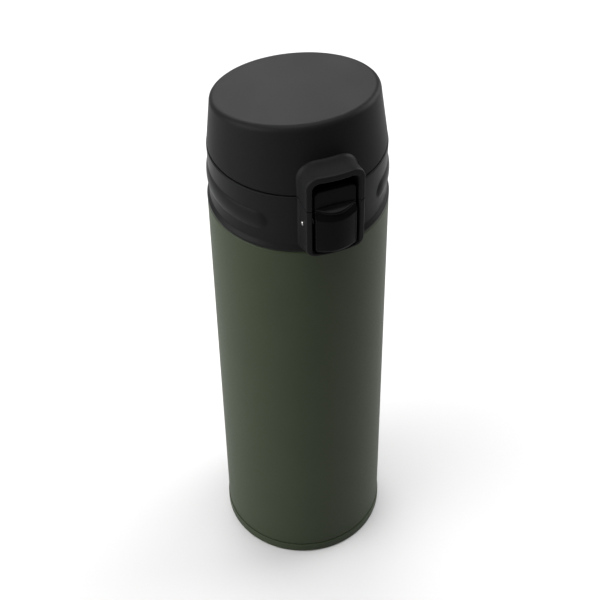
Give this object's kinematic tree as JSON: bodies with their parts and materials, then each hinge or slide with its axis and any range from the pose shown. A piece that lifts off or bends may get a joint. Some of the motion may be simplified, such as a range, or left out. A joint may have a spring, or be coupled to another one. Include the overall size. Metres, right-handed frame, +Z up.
{
  "type": "vacuum flask",
  "caption": "One-touch vacuum flask: double-walled painted steel bottle, screw-on stopper with drinking spout, hinged slanted lid, rocking release button and sliding lock.",
  "frame": {"origin": "centre of the base on the surface the flask stands on", "axes": "+Z up along the bottle's axis; the latch faces -Y and the lid's hinge is at +Y; +X is to the right when facing the latch"},
  "size_m": [0.0666, 0.0785, 0.2306],
  "materials": {
    "body_paint": "matte powder coat, dark olive green",
    "vessel_steel": "satin, unpainted stainless steel",
    "foil": "bright thin foil",
    "getter_metal": "dull sintered metal",
    "lid_plastic": "near-black, fine spark-eroded grain",
    "collar_plastic": "near-black, satin",
    "latch_plastic": "black, smooth with a low sheen",
    "inner_plastic": "charcoal, smooth",
    "silicone": "soft matte grey silicone",
    "spring_steel": "bright drawn wire and ground pins"
  },
  "bodies": {
    "bottle": {"outer_shell": "body_paint", "inner_vessel": "vessel_steel", "base_cap": "body_paint", "vacuum_plate": "vessel_steel", "port_seal": "getter_metal", "heat_reflector": "foil", "getter": "getter_metal", "getter_clip": "vessel_steel"},
    "mouth_seal": {"mouth_gasket": "silicone"},
    "stopper": {"collar": "collar_plastic", "thread_sleeve": "inner_plastic", "spout": "inner_plastic", "spout_gasket": "silicone", "hinge_pin": "spring_steel", "hinge_spring": "spring_steel", "latch_pin": "spring_steel", "latch_spring": "spring_steel"},
    "lid": {"lid_shell": "lid_plastic", "lid_liner": "inner_plastic", "lid_seal": "silicone", "seal_holder": "inner_plastic"},
    "button": {"release_button": "latch_plastic"},
    "slider": {"lock_slider": "latch_plastic"}
  },
  "joints": [
    {"name": "stopper_lift", "type": "slide", "parent": "bottle", "child": "mouth_seal", "axis": [0, 0, 1], "range_m": [0, 0.0086]},
    {"name": "stopper_turn", "type": "hinge", "parent": "mouth_seal", "child": "stopper", "pos_m": [0, 0, 0.19], "axis": [0, 0, 1], "range_deg": [0, 612]},
    {"name": "lid_hinge", "type": "hinge", "parent": "stopper", "child": "lid", "pos_m": [0, 0.0356, 0.2036], "axis": [-1, 0, 0], "range_deg": [0, 115], "deforming": ["hinge_spring"]},
    {"name": "button_rock", "type": "hinge", "parent": "stopper", "child": "button", "pos_m": [0, -0.0335, 0.1948], "axis": [1, 0, 0], "range_deg": [0, 6], "stiffness_Nm_per_rad": 0.05, "springref_deg": -2.86, "deforming": ["latch_spring"]},
    {"name": "lock_slide", "type": "slide", "parent": "button", "child": "slider", "axis": [0, 0, 1], "range_m": [0, 0.003]}
  ],
  "couplings": [
    {"joint": "stopper_lift", "follows": "stopper_turn", "m_per_rad": 0.00079577}
  ]
}
